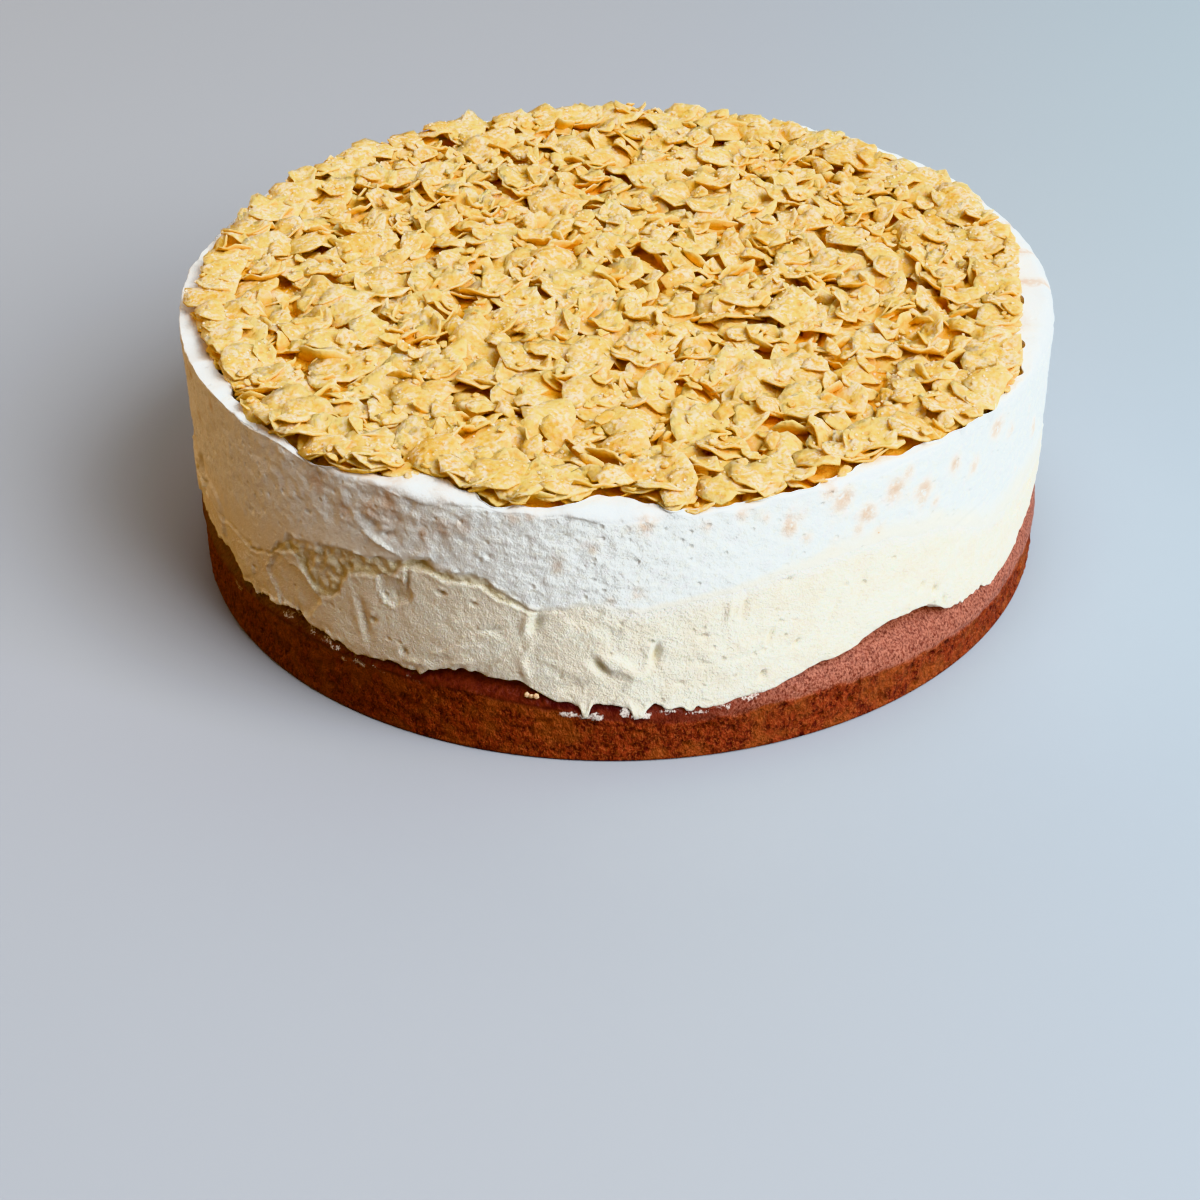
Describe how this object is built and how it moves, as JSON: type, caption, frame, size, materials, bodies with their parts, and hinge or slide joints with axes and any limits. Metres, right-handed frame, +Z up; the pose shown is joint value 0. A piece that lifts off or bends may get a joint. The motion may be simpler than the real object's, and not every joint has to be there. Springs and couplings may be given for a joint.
{
  "type": "ice cream cake",
  "caption": "Round frozen cake: brown sponge base, coffee and vanilla ice cream layers with wavy edges, and a heap of sugared corn flakes inside a ragged rim.",
  "frame": {"origin": "middle of the underside, on the surface that the cake stands on", "axes": "+Z up through the cake's middle, -Y towards the front that the picture shows, +X to its right"},
  "size_m": [0.2298, 0.23, 0.076],
  "materials": {
    "sponge": "reddish brown sponge crumb, matt, with a smoother pinkish brown baked crust on its shoulder",
    "coffee_ice_cream": "pale coffee cream, frozen, with scrape marks, small pits and a satin sheen",
    "vanilla_ice_cream": "white, icy grain, with small brown and orange bits of cereal in it",
    "corn_flake": "golden toasted flakes with lighter edges, amber hollows and a frosting of sugar"
  },
  "bodies": {
    "root": {"sponge_base": "sponge", "coffee_ice_cream": "coffee_ice_cream", "vanilla_ice_cream": "vanilla_ice_cream", "corn_flake_topping": "corn_flake"}
  },
  "joints": []
}
